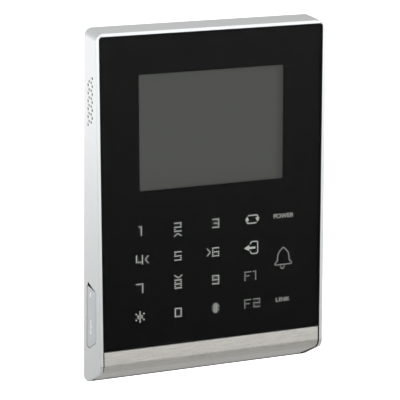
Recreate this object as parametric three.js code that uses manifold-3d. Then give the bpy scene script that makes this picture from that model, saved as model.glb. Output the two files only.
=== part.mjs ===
// Wall-mounted access terminal: a wedge-shaped silver housing with a black touch glass, a colour
// display, a keypad behind the glass, a steel chin strip, a side USB door and a wall bracket.
// Millimetres. +X is right seen from the front, the front faces -Y, the wall is at y = 0, +Z is up.
// The origin is the centre of the wall bracket's rear face.
import * as THREE from 'three';
import { mergeVertices } from 'three/addons/utils/BufferGeometryUtils.js';
import Module from 'manifold-3d';

const wasm = await Module();
wasm.setup();

// ---------------------------------------------------------------- driving dimensions
const HALF_WIDTH = 48.5;          // housing, half of 97 mm
const TOP = 72.4;                 // housing top, and the bottom is at -TOP
const REAR = -0.4;                // rear rim of the housing, just clear of the wall
const FRONT_SLOPE = 0.0512;       // the front leans back towards the wall
const TILT = Math.atan(FRONT_SLOPE);
const FOOT_Y = -20.13;            // the glass's bottom edge, on its front face
const FOOT_Z = -54.7;
const RIM_PROUD = 0.2;            // the silver rim stands this far in front of the glass
const RIM_BEVEL = 0.65;
const CORNER_R = 3.3;             // top corners of the housing
const WALL = 2.2;
const CAVITY_HALF = HALF_WIDTH - WALL;

const OPEN_HALF = 47.15;          // the opening in the rim that holds the glass
const OPEN_TOP = 126.0;
const GAP = 0.3;
const GLASS_T = 1.1;
const WINDOW_HALF = 30.6;         // clear display window
const WINDOW_LOW = 63.9;
const WINDOW_HIGH = 110.1;
const WINDOW_MID = (WINDOW_LOW + WINDOW_HIGH) / 2;
const LEDGE_FRONT = 1.8;
const LEDGE_REAR = 3.3;

const CHIN_ANGLE = THREE.MathUtils.degToRad(30.5);
const CHIN_R = 5;
const CHIN_END_Y = -5.0;          // where the sloping chin meets the flat bottom
const STRIP_T = 0.8;
const STRIP_SINK = 0.2;

const COVER_REAR = -1.7;          // rear cover plate
const COVER_FRONT = -3.4;
const BRACKET_T = 1.2;
const BOARD_REAR = -7.6;          // main circuit board
const BOARD_FRONT = -9.0;

const USB_Y = -9.9;               // side port
const USB_Z = -43.2;
const DOOR_T = 1.2;
const DOOR_HINGE_Z = -57.0;
// Grille columns as (y, top z, hole radius), mirrored about a solid rib.
const GRILLE_COLUMNS = [[-10.2, 54.4, 0.6], [-8.95, 52.5, 0.55], [-6.55, 52.5, 0.55], [-5.35, 50.8, 0.6]];
const GRILLE_ROWS = 6;
const GRILLE_PITCH = 3.16;

const TAMPER_X = 34;
const TAMPER_Z = -16;
const RESET_X = 34;
const RESET_Z = -4;
const SCREW_Y = -2.8;             // the security screw that holds the terminal on its bracket

const CLEAR = 1;                  // how far a cutting tool runs past the face it cuts
const SEAT = 0.05;                // gap between a part and the board or pocket it sits on
const OPEN_CORNER_R = 1.5;
const CORNER_CUT_R = 1;
const DISPLAY_HOLE = [33, 25.1];  // half width and half height of the ledge's display opening
const KEYPAD_HOLE = [-42, 5, 42, 57.5];
const CHIN_START_Z = -50;         // where the housing's chin outline starts on the front face

// ---------------------------------------------------------------- helpers
// A closed outline from [a, b, radius] corners; each radius becomes an arc of `steps` chords.
function outline(corners, steps = 4) {
  const points = [];
  const count = corners.length;
  for (let i = 0; i < count; i += 1) {
    const [a, b, r] = corners[i];
    const here = new THREE.Vector2(a, b);
    if (!r) {
      points.push(here);
      continue;
    }
    const before = corners[(i + count - 1) % count];
    const after = corners[(i + 1) % count];
    const back = new THREE.Vector2(before[0] - a, before[1] - b).normalize();
    const ahead = new THREE.Vector2(after[0] - a, after[1] - b).normalize();
    const half = Math.acos(THREE.MathUtils.clamp(back.dot(ahead), -1, 1)) / 2;
    const reach = r / Math.tan(half);
    const middle = back.clone().add(ahead).normalize();
    const centre = here.clone().addScaledVector(middle, r / Math.sin(half));
    const from = here.clone().addScaledVector(back, reach).sub(centre);
    const to = here.clone().addScaledVector(ahead, reach).sub(centre);
    const turn = Math.atan2(from.cross(to), from.dot(to));
    for (let k = 0; k <= steps; k += 1) {
      points.push(from.clone().rotateAround(new THREE.Vector2(), (turn * k) / steps).add(centre));
    }
  }
  return points;
}

function rectangle(x0, y0, x1, y1, r = 0, steps = 4) {
  return outline([[x0, y0, r], [x1, y0, r], [x1, y1, r], [x0, y1, r]], steps);
}

function plate(points, depth) {
  return new THREE.ExtrudeGeometry(new THREE.Shape(points), { depth, bevelEnabled: false });
}

// Outline in (x, v), running from depth n0 to n1 behind the glass face.
function frontPlate(points, n0, n1) {
  return plate(points, n1 - n0).rotateX(Math.PI / 2).translate(0, n1, 0);
}

// Outline in (y, z), running from x0 to x1.
function sidePlate(points, x0, x1) {
  const turn = new THREE.Matrix4().set(0, 0, 1, x0, 1, 0, 0, 0, 0, 1, 0, 0, 0, 0, 0, 1);
  return plate(points, x1 - x0).applyMatrix4(turn);
}

function block(x0, x1, y0, y1, z0, z1) {
  return new THREE.BoxGeometry(x1 - x0, y1 - y0, z1 - z0)
    .translate((x0 + x1) / 2, (y0 + y1) / 2, (z0 + z1) / 2);
}

// A round bar along Y from y0 to y1.
function barY(x, z, r, y0, y1, sides = 16) {
  return new THREE.CylinderGeometry(r, r, y1 - y0, sides).translate(x, (y0 + y1) / 2, z);
}

function barX(y, z, r, x0, x1, sides = 10) {
  return new THREE.CylinderGeometry(r, r, x1 - x0, sides).rotateZ(Math.PI / 2)
    .translate((x0 + x1) / 2, y, z);
}

function barZ(x, y, r, z0, z1, sides = 16) {
  return new THREE.CylinderGeometry(r, r, z1 - z0, sides).rotateX(Math.PI / 2)
    .translate(x, y, (z0 + z1) / 2);
}

// From coordinates on the glass (x, n behind it, v up it) to the row frame.
function lean(shape) {
  return shape.rotateX(-TILT).translate(0, FOOT_Y, FOOT_Z);
}

function frontY(z, n = 0) {
  return FOOT_Y + (z - FOOT_Z) * FRONT_SLOPE + n / Math.cos(TILT);
}

function toSolid(shape) {
  const bare = shape.clone();
  bare.deleteAttribute('normal');
  bare.deleteAttribute('uv');
  const merged = mergeVertices(bare, 1e-5);
  return new wasm.Manifold(new wasm.Mesh({
    numProp: 3,
    vertProperties: new Float32Array(merged.attributes.position.array),
    triVerts: new Uint32Array(merged.index.array),
  }));
}

function toShape(solid) {
  const mesh = solid.getMesh();
  const shape = new THREE.BufferGeometry();
  shape.setAttribute('position', new THREE.BufferAttribute(mesh.vertProperties, 3));
  shape.setIndex(new THREE.BufferAttribute(mesh.triVerts, 1));
  return shape;
}

function cut(base, tools) {
  return toShape(tools.reduce((left, tool) => left.subtract(toSolid(tool)), toSolid(base)));
}

function join(shapes) {
  return toShape(shapes.map(toSolid).reduce((left, next) => left.add(next)));
}

// ---------------------------------------------------------------- materials and nodes
const FINISH = {
  silver_paint: [0xc9ccd2, 0.38, 0.55],
  black_gloss: [0x08090b, 0.06, 0.0],
  clear_glass: [0x20262a, 0.05, 0.0],
  black_ink: [0x050506, 0.5, 0.0],
  tape: [0x101012, 0.9, 0.0],
  steel: [0xb4b3ac, 0.32, 1.0],
  zinc_steel: [0xa9adb0, 0.4, 1.0],
  display: [0x4b4f55, 0.3, 0.0],
  backlight: [0xe8e8e4, 0.6, 0.0],
  flex: [0xa0682a, 0.5, 0.0],
  board: [0x1e5a34, 0.55, 0.0],
  black_plastic: [0x17181a, 0.6, 0.0],
  grey_plastic: [0x55585c, 0.6, 0.0],
  white_plastic: [0xe6e3d8, 0.5, 0.0],
  diffuser: [0xf2f2ee, 0.5, 0.0],
  led: [0xd8f0d0, 0.3, 0.0],
  copper: [0xb87333, 0.35, 1.0],
  chip: [0x1a1a1c, 0.45, 0.0],
  silver_door: [0xc4c7cd, 0.45, 0.3],
  cone: [0x2a2a2c, 0.7, 0.0],
  cloth: [0x0d0d0e, 0.95, 0.0],
  aluminium: [0xb9bcc0, 0.35, 1.0],
};

const terminal = new THREE.Group();
terminal.name = 'terminal';

function add(name, shape, finish) {
  const [color, roughness, metalness] = FINISH[finish];
  const material = new THREE.MeshStandardMaterial({ color, roughness, metalness });
  material.name = finish;
  const mesh = new THREE.Mesh(shape, material);
  mesh.name = name;
  terminal.add(mesh);
}

// ---------------------------------------------------------------- housing
// The chin outline from the front face round the bend and down the slope. `front` and `slope`
// are the inward offsets from the cheek's faces, topZ where it starts and endY where it ends.
function chinPath(front, slope, radius, topZ, endY, steps = 6) {
  const startY = frontY(topZ, front - RIM_PROUD);
  const lowY = CHIN_END_Y + slope * Math.sin(CHIN_ANGLE);
  const lowZ = -TOP + slope * Math.cos(CHIN_ANGLE);
  const fall = Math.tan(CHIN_ANGLE);
  const frontAtLow = frontY(lowZ, front - RIM_PROUD);
  const cornerZ = lowZ + (fall * (lowY - frontAtLow)) / (1 + fall * FRONT_SLOPE);
  const cornerY = frontY(cornerZ, front - RIM_PROUD);
  const endZ = lowZ - fall * (endY - lowY);
  const bend = outline([[startY, topZ, 0], [cornerY, cornerZ, radius], [endY, endZ, 0]], steps);
  return bend;
}

// The front outline runs deeper and lower than the housing; the side profile trims it.
const RIM_DEPTH = 30;
const RIM_LOW = -30;
const RIM_INNER_HALF = HALF_WIDTH - RIM_BEVEL;
const RIM_INNER_TOP = (TOP - FOOT_Z) / Math.cos(TILT) - RIM_BEVEL;
const outerRim = new THREE.ExtrudeGeometry(
  new THREE.Shape(outline([
    [-RIM_INNER_HALF, RIM_LOW, 0],
    [RIM_INNER_HALF, RIM_LOW, 0],
    [RIM_INNER_HALF, RIM_INNER_TOP, CORNER_R - RIM_BEVEL],
    [-RIM_INNER_HALF, RIM_INNER_TOP, CORNER_R - RIM_BEVEL],
  ], 5)),
  {
    depth: RIM_DEPTH, bevelEnabled: true, bevelSize: RIM_BEVEL, bevelThickness: RIM_BEVEL, bevelSegments: 2,
  },
);
outerRim.rotateX(Math.PI / 2).translate(0, RIM_DEPTH + RIM_BEVEL - RIM_PROUD, 0);
// The side walls run straight back, square to the wall, while the front leans.
outerRim.applyMatrix4(new THREE.Matrix4().set(
  1, 0, 0, 0,
  0, 1, Math.sin(TILT), FOOT_Y,
  0, 0, Math.cos(TILT), FOOT_Z,
  0, 0, 0, 1,
));

const REAR_CORNER_R = 1.2;
const BEYOND_TOP = TOP + 8;
const BEYOND_FRONT = -40;
const sideProfile = sidePlate([
  ...outline([[REAR, BEYOND_TOP, 0], [BEYOND_FRONT, BEYOND_TOP, 0], [BEYOND_FRONT, CHIN_START_Z, 0]]),
  ...chinPath(0, 0, CHIN_R, CHIN_START_Z, CHIN_END_Y, 8),
  ...outline([
    [CHIN_END_Y, -TOP, 0], [REAR, -TOP, REAR_CORNER_R], [REAR, 0, 0],
  ]).slice(1, -1),
], -HALF_WIDTH - CLEAR, HALF_WIDTH + CLEAR);

const BEHIND = 5;                 // clear of the open rear
const CHIN_WALL = 2.55;
const CAVITY_BEND_R = 2.5;
const CAVITY_CHIN_END_Y = -3.7;
const cavity = sidePlate([
  new THREE.Vector2(BEHIND, TOP - WALL),
  new THREE.Vector2(frontY(TOP - WALL, LEDGE_REAR), TOP - WALL),
  ...chinPath(LEDGE_REAR + RIM_PROUD, CHIN_WALL, CAVITY_BEND_R, CHIN_START_Z, CAVITY_CHIN_END_Y, 4),
  new THREE.Vector2(BEHIND, -TOP + WALL),
], -CAVITY_HALF, CAVITY_HALF);

const glassPocket = lean(frontPlate(outline([
  [-OPEN_HALF, 0, 0], [OPEN_HALF, 0, 0],
  [OPEN_HALF, OPEN_TOP, OPEN_CORNER_R], [-OPEN_HALF, OPEN_TOP, OPEN_CORNER_R],
]), -RIM_PROUD - CLEAR, LEDGE_FRONT));
// A rectangle on the display's centre, from half its width and half its height.
function onDisplay(half, up, r = 0) {
  return rectangle(-half, WINDOW_MID - up, half, WINDOW_MID + up, r);
}
const displayHole = lean(frontPlate(
  onDisplay(...DISPLAY_HOLE, CORNER_CUT_R), LEDGE_FRONT - CLEAR, LEDGE_REAR + CLEAR));
const keypadHole = lean(frontPlate(
  rectangle(...KEYPAD_HOLE, CORNER_CUT_R), LEDGE_FRONT - CLEAR, LEDGE_REAR + CLEAR));

const POCKET_DEPTH = STRIP_T + STRIP_SINK + 0.15;
const POCKET_OUT = 3;
const stripPocket = sidePlate([
  ...chinPath(-POCKET_OUT, -POCKET_OUT, CHIN_R + POCKET_OUT, FOOT_Z, CHIN_END_Y, 6),
  ...chinPath(POCKET_DEPTH, POCKET_DEPTH, CHIN_R - STRIP_T - STRIP_SINK, FOOT_Z, CHIN_END_Y - 0.2, 6).reverse(),
], -OPEN_HALF, OPEN_HALF);

const coverScrews = [[44, 66.7], [-44, 66.7], [44, -64.2], [-44, -64.2]];
const boardScrews = [[43.4, -3], [-43.4, -3], [43.4, -54], [-43.4, -54]];
const COVER_BOSS_R = 2.6;
const BOARD_BOSS_R = 3.1;
const PILOT_R = 1.05;

const BOSS_GAP = 0.1;             // between a boss and what is screwed onto it
const ROOT = 0.5;                 // how far a boss grows into the ledge
const LOW_BOSS_Y = -10.2;         // the lower bosses grow out of the chin's slope instead
const COVER_PILOT = 6.5;
const BOARD_PILOT = 4;

const bosses = [
  ...coverScrews.map(([x, z]) => barY(x, z, COVER_BOSS_R,
    z > 0 ? frontY(z, LEDGE_REAR - ROOT) : LOW_BOSS_Y, COVER_FRONT - BOSS_GAP, 12)),
  ...boardScrews.map(([x, z]) => barY(x, z, BOARD_BOSS_R,
    frontY(z, LEDGE_REAR - ROOT), BOARD_FRONT - BOSS_GAP, 12)),
];
const pilots = [
  ...coverScrews.map(([x, z]) => barY(x, z, PILOT_R, COVER_FRONT - COVER_PILOT, COVER_FRONT + CLEAR, 10)),
  ...boardScrews.map(([x, z]) => barY(x, z, PILOT_R, BOARD_FRONT - BOARD_PILOT, BOARD_FRONT + CLEAR, 10)),
];

const grilleHoles = GRILLE_COLUMNS.flatMap(([y, topZ, radius]) => (
  Array.from({ length: GRILLE_ROWS }, (_, row) => (
    barX(y, topZ - row * GRILLE_PITCH, radius, -HALF_WIDTH - CLEAR, -CAVITY_HALF + CLEAR, 8)
  ))
));

// The door's outline in (y, z), grown by `grow`; its lower edge follows the chin's slope.
const DOOR_REAR_Y = -4.3;
const DOOR_FRONT_Y = -15.4;
const DOOR_TOP_Z = -31.3;
const DOOR_KNEE = [DOOR_FRONT_Y, -52.0];
const DOOR_TOE_Y = -7.2;
const DOOR_CORNER_R = 0.6;
const DOOR_KNEE_R = 0.8;
function doorOutline(grow) {
  return outline([
    [DOOR_REAR_Y + grow, DOOR_TOP_Z + grow, DOOR_CORNER_R + grow],
    [DOOR_FRONT_Y - grow, DOOR_TOP_Z + grow, DOOR_CORNER_R + grow],
    [DOOR_KNEE[0] - grow, DOOR_KNEE[1] - grow * 0.58, DOOR_KNEE_R],
    [DOOR_TOE_Y - grow * 0.3, DOOR_HINGE_Z - grow, DOOR_KNEE_R],
    [DOOR_REAR_Y + grow, DOOR_HINGE_Z - grow, DOOR_CORNER_R + grow],
  ], 3);
}
const DOOR_GAP = 0.2;
const DOOR_BED = 0.25;
const doorRecess = sidePlate(doorOutline(DOOR_GAP), -HALF_WIDTH - CLEAR, -HALF_WIDTH + DOOR_T + DOOR_BED);
const NAIL_DEPTH = 0.9;
const nailNotch = sidePlate(outline([
  [-5.2, -29.5, 0.5], [-14.4, -31.0, 0.4], [-14.4, -31.8, 0], [-5.2, -31.8, 0],
]), -HALF_WIDTH - CLEAR, -HALF_WIDTH + NAIL_DEPTH);
const PORT_HALF = [3.3, 6.9];     // half the port hole's size along y and z
const portHole = block(-HALF_WIDTH, -CAVITY_HALF + CLEAR,
  USB_Y - PORT_HALF[0], USB_Y + PORT_HALF[0], USB_Z - PORT_HALF[1], USB_Z + PORT_HALF[1]);
const SCREW_HOLE_R = 1.4;
const SCREW_SINK_R = 2.15;
const SCREW_SINK_DEPTH = 1.0;
const screwHole = barZ(0, SCREW_Y, SCREW_HOLE_R, -TOP - CLEAR, -TOP + WALL + CLEAR, 16);
const screwSink = barZ(0, SCREW_Y, SCREW_SINK_R, -TOP - CLEAR, -TOP + SCREW_SINK_DEPTH, 20);

const shell = toSolid(outerRim).intersect(toSolid(sideProfile)).subtract(toSolid(cavity));
const raised = bosses.reduce((left, tool) => left.add(toSolid(tool)), shell);
add('housing', toShape([
  glassPocket, displayHole, keypadHole, stripPocket, ...pilots, ...grilleHoles,
  doorRecess, nailNotch, portHole, screwHole, screwSink,
].reduce((left, tool) => left.subtract(toSolid(tool)), raised)), 'silver_paint');

// ---------------------------------------------------------------- front stack
const GLASS_HALF = OPEN_HALF - GAP;
const GLASS_TOP = OPEN_TOP - GAP;
function withWindows(outer, windows) {
  const shape = new THREE.Shape(outer);
  shape.holes = windows.map((points) => new THREE.Path(points));
  return shape;
}
function framePlate(outer, windows, n0, n1) {
  const shape = withWindows(outer, windows);
  return lean(new THREE.ExtrudeGeometry(shape, { depth: n1 - n0, bevelEnabled: false })
    .rotateX(Math.PI / 2).translate(0, n1, 0));
}

const GLASS_CORNER_R = OPEN_CORNER_R - GAP;
add('cover_glass', lean(frontPlate(outline([
  [-GLASS_HALF, GAP, GAP], [GLASS_HALF, GAP, GAP],
  [GLASS_HALF, GLASS_TOP, GLASS_CORNER_R], [-GLASS_HALF, GLASS_TOP, GLASS_CORNER_R],
]), 0, GLASS_T)), 'clear_glass');

// The black print and the tape behind the glass, each drawn in from the glass's edge.
function insideGlass(inset) {
  return rectangle(-GLASS_HALF + inset, GAP + inset, GLASS_HALF - inset, GLASS_TOP - inset, 1);
}
const PRINT_FRONT = GLASS_T + 0.1;
const PRINT_REAR = GLASS_T + 0.3;
const PRINT_INSET = 0.3;
add('glass_print', framePlate(
  insideGlass(PRINT_INSET), [rectangle(-WINDOW_HALF, WINDOW_LOW, WINDOW_HALF, WINDOW_HIGH)],
  PRINT_FRONT, PRINT_REAR), 'black_ink');

const TAPE_FRONT = GLASS_T + 0.4;
const TAPE_INSET = 0.5;
const TAPE_CLEAR = 0.4;           // the tape stays clear of the ledge's display opening
add('glass_tape', framePlate(
  insideGlass(TAPE_INSET),
  [onDisplay(DISPLAY_HOLE[0] + TAPE_CLEAR, DISPLAY_HOLE[1] + TAPE_CLEAR), rectangle(...KEYPAD_HOLE)],
  TAPE_FRONT, LEDGE_FRONT - 0.1), 'tape');

// Chin strip: one bent sheet below the glass, whose ends draw in towards the rear.
const STRIP_TOP_Z = FOOT_Z - 0.2;
const STRIP_END_Y = CHIN_END_Y - 0.5;
const STRIP_HALF = OPEN_HALF - GAP;
const STRIP_INNER = STRIP_SINK + STRIP_T;
const TAPER = 1.15;
const TAPER_START_Y = -17;
const TAPER_PER_Y = TAPER / (STRIP_END_Y - TAPER_START_Y);
const taperTools = [-1, 1].map((side) => plate([
  new THREE.Vector2(side * STRIP_HALF, TAPER_START_Y),
  new THREE.Vector2(side * (STRIP_HALF + CLEAR), TAPER_START_Y),
  new THREE.Vector2(side * (STRIP_HALF + CLEAR), STRIP_END_Y + CLEAR),
  new THREE.Vector2(side * (STRIP_HALF - TAPER - TAPER_PER_Y * CLEAR), STRIP_END_Y + CLEAR),
], TOP).translate(0, 0, -TOP - CLEAR));
add('steel_strip', cut(sidePlate([
  ...chinPath(STRIP_SINK, STRIP_SINK, CHIN_R - STRIP_SINK, STRIP_TOP_Z, STRIP_END_Y, 8),
  ...chinPath(STRIP_INNER, STRIP_INNER, CHIN_R - STRIP_INNER, STRIP_TOP_Z, STRIP_END_Y, 8).reverse(),
], -STRIP_HALF, STRIP_HALF), taperTools), 'steel');

// Display module.
const MODULE_HALF = 34.6;
const MODULE_UP = 28.2;
const MODULE_CORNER_R = 0.6;
const BEZEL_FRONT = 3.6;
const BEZEL_REAR = 7.2;
const BEZEL_T = 0.3;
const BEZEL_OPENING = [32.2, 24.6];
const PANEL_INSET = 0.8;
const PANEL_N = [4.0, 5.2];       // depths behind the glass face
const BACKLIGHT_N = [5.3, 7.0];
add('display_bezel', cut(
  lean(frontPlate(onDisplay(MODULE_HALF, MODULE_UP, MODULE_CORNER_R), BEZEL_FRONT, BEZEL_REAR)),
  [
    lean(frontPlate(onDisplay(...BEZEL_OPENING), BEZEL_FRONT - CLEAR, BEZEL_FRONT + CLEAR)),
    lean(frontPlate(onDisplay(MODULE_HALF - BEZEL_T - 0.1, MODULE_UP - BEZEL_T - 0.1),
      BEZEL_FRONT + BEZEL_T, BEZEL_REAR + CLEAR)),
  ],
), 'zinc_steel');
add('display_panel', lean(frontPlate(
  onDisplay(MODULE_HALF - PANEL_INSET, MODULE_UP - PANEL_INSET), ...PANEL_N)), 'display');
add('display_backlight', lean(frontPlate(
  onDisplay(MODULE_HALF - PANEL_INSET, MODULE_UP - PANEL_INSET, 0.5), ...BACKLIGHT_N)), 'backlight');

// Keypad: sensing board, light guide, two lamps and the card reader's aerial, as depths behind the glass.
const TOUCH_BOARD = [-41, 6, 41, 56.5];
const LIGHT_GUIDE = [-39.5, 7.5, 39.5, 55.5];
const TOUCH_N = [1.5, 2.5];
const GUIDE_N = [2.6, 3.4];
const LAMP_N = [3.5, 4.1];
const AERIAL_N = [3.5, 3.9];
const AERIAL = [-39, 9, 26, 55];
const AERIAL_TRACK = 2.6;
add('touch_board', lean(frontPlate(rectangle(...TOUCH_BOARD, 1), ...TOUCH_N)), 'board');
add('key_light_guide', lean(frontPlate(rectangle(...LIGHT_GUIDE, 1), ...GUIDE_N)), 'diffuser');
[['power_led', 51.2], ['link_led', 15.6]].forEach(([name, v]) => {
  add(name, lean(frontPlate(rectangle(30, v, 31.6, v + 0.8), ...LAMP_N)), 'led');
});
add('antenna_coil', framePlate(
  rectangle(...AERIAL, 3),
  [rectangle(AERIAL[0] + AERIAL_TRACK, AERIAL[1] + AERIAL_TRACK, AERIAL[2] - AERIAL_TRACK,
    AERIAL[3] - AERIAL_TRACK, 1.5)],
  ...AERIAL_N), 'copper');

// ---------------------------------------------------------------- main board and its parts
const BOARD_HALF = 46;
const BOARD_Z = [-60.5, 1];
const BOARD_HOLE_R = 1.2;
const USB_NOTCH_X = -32.2;
const USB_NOTCH_HALF = 7.1;
const usbNotch = block(-BOARD_HALF - CLEAR, USB_NOTCH_X, BOARD_FRONT - CLEAR, BOARD_REAR + CLEAR,
  USB_Z - USB_NOTCH_HALF, USB_Z + USB_NOTCH_HALF);
add('main_board', cut(
  sidePlate(rectangle(BOARD_FRONT, BOARD_Z[0], BOARD_REAR, BOARD_Z[1]), -BOARD_HALF, BOARD_HALF),
  [usbNotch, ...boardScrews.map(([x, z]) => (
    barY(x, z, BOARD_HOLE_R, BOARD_FRONT - CLEAR, BOARD_REAR + CLEAR, 12)
  ))],
), 'board');

const ON_FRONT = BOARD_FRONT - SEAT;
const ON_REAR = BOARD_REAR + SEAT;
// Plain parts soldered on the board's front, as (x low, x high, height, z low, z high, finish).
[
  ['processor_shield', 0, 22, 2.2, -33, -13, 'zinc_steel'],
  ['memory_chip', -14, -2, 1.1, -28, -18, 'chip'],
  ['network_transformer', -16, -3, 3.6, -44, -34, 'chip'],
  ['relay', 4, 16, 5.2, -52, -43, 'white_plastic'],
  ['display_connector', -12, 12, 1.2, -8.5, -5, 'white_plastic'],
  ['touch_connector', -24, -12, 1.6, -57.5, -54, 'white_plastic'],
].forEach(([name, x0, x1, height, z0, z1, finish]) => {
  add(name, block(x0, x1, ON_FRONT - height, ON_FRONT, z0, z1), finish);
});

const COIL = [23.5, -42.5];       // the inductor's middle in x and z
const COIL_HALF = 3.5;
const COIL_H = 3.2;
const COIL_DISH = [2.2, 0.6];     // radius and depth of the dish in its face
add('inductor', cut(
  block(COIL[0] - COIL_HALF, COIL[0] + COIL_HALF, ON_FRONT - COIL_H, ON_FRONT,
    COIL[1] - COIL_HALF, COIL[1] + COIL_HALF),
  [barY(COIL[0], COIL[1], COIL_DISH[0], ON_FRONT - COIL_H - CLEAR, ON_FRONT - COIL_H + COIL_DISH[1], 12)],
), 'grey_plastic');
function capacitor(name, x, z) {
  const profile = [[0, 0], [2.5, 0], [2.5, 0.5], [2.3, 0.8], [2.5, 1.1], [2.5, 5.1], [2.2, 5.4], [0, 5.4]]
    .map(([r, h]) => new THREE.Vector2(r, h));
  add(name, new THREE.LatheGeometry(profile, 16).rotateX(Math.PI)
    .translate(x, ON_FRONT, z), 'aluminium');
}
capacitor('capacitor_1', 22, -53);
capacitor('capacitor_2', 29, -53);

// Flat cables, as bent ribbons of one thickness.
function ribbon(points, thickness, x0, x1) {
  const side = points.map(([y, z], i) => {
    const before = points[Math.max(i - 1, 0)];
    const after = points[Math.min(i + 1, points.length - 1)];
    const along = new THREE.Vector2(after[0] - before[0], after[1] - before[1]).normalize();
    return new THREE.Vector2(y - along.y * thickness, z + along.x * thickness);
  });
  return sidePlate([...points.map(([y, z]) => new THREE.Vector2(y, z)), ...side.reverse()], x0, x1);
}
const FLEX_T = 0.2;
add('display_flex', ribbon([
  [-9.25, 12], [-9.85, 4], [-10.4, 1.5], [-10.75, -1.5], [-10.6, -3.6], [-9.8, -4.8],
], FLEX_T, -10, 10), 'flex');
add('touch_flex', ribbon([
  [-17.1, -48.35], [-16.0, -49.5], [-14.4, -52.0], [-12.4, -53.4], [-9.9, -53.7],
], FLEX_T, -23, -13), 'flex');

// USB socket on the board's left edge.
const SOCKET_X = [-45.9, -32.6];
const SOCKET_HALF = [2.85, 6.6];  // half its size along y and z
const SOCKET_MOUTH = [2.45, 6.15];
const SOCKET_DEPTH = 9.2;
const TONGUE_START = 1.9;
const TONGUE_Y = [0.1, 1.9];
const TONGUE_HALF = 5.6;
add('usb_socket', cut(
  block(SOCKET_X[0], SOCKET_X[1], USB_Y - SOCKET_HALF[0], USB_Y + SOCKET_HALF[0],
    USB_Z - SOCKET_HALF[1], USB_Z + SOCKET_HALF[1]),
  [block(SOCKET_X[0] - CLEAR, SOCKET_X[0] + SOCKET_DEPTH, USB_Y - SOCKET_MOUTH[0], USB_Y + SOCKET_MOUTH[0],
    USB_Z - SOCKET_MOUTH[1], USB_Z + SOCKET_MOUTH[1])],
), 'zinc_steel');
add('usb_tongue', block(SOCKET_X[0] + TONGUE_START, SOCKET_X[0] + SOCKET_DEPTH - 0.1,
  USB_Y + TONGUE_Y[0], USB_Y + TONGUE_Y[1], USB_Z - TONGUE_HALF, USB_Z + TONGUE_HALF), 'white_plastic');

// Speaker behind the side grille: each part is centred on it, as (x low, x high, half y, half z).
const SPEAKER_Z = 44.3;
const SPEAKER_Y = -7.6;
function onSpeaker(x0, x1, halfY, halfZ, r = 0) {
  return sidePlate(
    rectangle(SPEAKER_Y - halfY, SPEAKER_Z - halfZ, SPEAKER_Y + halfY, SPEAKER_Z + halfZ, r), x0, x1);
}
const SPEAKER_R = 2;
add('speaker_frame', cut(
  onSpeaker(-45.8, -42, 3.5, 12), [onSpeaker(-47, -43, 2.8, 11.2, SPEAKER_R)]), 'black_plastic');
add('speaker_cone', onSpeaker(-43.8, -43.2, 2.6, 11, SPEAKER_R), 'cone');
add('speaker_magnet', onSpeaker(-41.9, -39.6, 3, 7), 'zinc_steel');
add('speaker_cloth', onSpeaker(-46.2, -45.95, 3.4, 12), 'cloth');

// Board parts that face the wall.
const CELL_X = 33;
const CELL_Z = -44;
const CELL_R = 6.25;
const HOLDER_R = 6.6;
const HOLDER_HALF = [8.4, 7.4];   // half its size along x and z
const HOLDER_H = 3.6;
const HOLDER_FLOOR = 0.8;
add('coin_cell_holder', cut(
  block(CELL_X - HOLDER_HALF[0], CELL_X + HOLDER_HALF[0], ON_REAR, ON_REAR + HOLDER_H,
    CELL_Z - HOLDER_HALF[1], CELL_Z + HOLDER_HALF[1]),
  [barY(CELL_X, CELL_Z, HOLDER_R, ON_REAR + HOLDER_FLOOR, ON_REAR + HOLDER_H + CLEAR, 28)],
), 'black_plastic');
add('coin_cell', barY(CELL_X, CELL_Z, CELL_R, ON_REAR + HOLDER_FLOOR + 0.1, ON_REAR + 2.9, 28), 'zinc_steel');
const BUZZER = [-8, -50];         // its middle in x and z
const BUZZER_H = 3.7;
add('buzzer', cut(
  barY(BUZZER[0], BUZZER[1], 4.6, ON_REAR, ON_REAR + BUZZER_H, 20),
  [barY(BUZZER[0], BUZZER[1], 0.9, ON_REAR + BUZZER_H - 0.8, ON_REAR + BUZZER_H + CLEAR, 10)],
), 'black_plastic');

// Low wire sockets in the connector bay, each a housing with its pins standing in the well.
const SOCKET_H = 3.5;
const SOCKET_UP = 2.8;            // half its height along z
const SOCKET_WALL = 0.7;
const SOCKET_FLOOR = 1.2;
const PIN_PITCH = 2.0;
const PIN_HALF = 0.3;
const PIN_FOOT = 1;               // pins start inside the floor and end this far below the rim
function wireSocket(name, x, z, pins) {
  const half = pins * PIN_PITCH / 2 + SOCKET_WALL * 2;
  const high = ON_REAR + SOCKET_H;
  const inside = SOCKET_UP - SOCKET_WALL;
  const well = block(x - half + SOCKET_WALL, x + half - SOCKET_WALL, ON_REAR + SOCKET_FLOOR, high + CLEAR,
    z - inside, z + inside);
  let whole = toSolid(block(x - half, x + half, ON_REAR, high, z - SOCKET_UP, z + SOCKET_UP))
    .subtract(toSolid(well));
  for (let i = 0; i < pins; i += 1) {
    const px = x + (i - (pins - 1) / 2) * PIN_PITCH;
    whole = whole.add(toSolid(block(px - PIN_HALF, px + PIN_HALF, ON_REAR + PIN_FOOT, high - PIN_FOOT,
      z - PIN_HALF, z + PIN_HALF)));
  }
  add(name, toShape(whole), 'white_plastic');
}
wireSocket('power_socket', -16.5, -14.5, 3);
wireSocket('network_socket', -3.5, -14.5, 4);
wireSocket('lock_socket', 12.5, -14.5, 6);
wireSocket('reader_socket', -11, -26.5, 8);
wireSocket('alarm_socket', 11, -26.5, 6);

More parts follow.
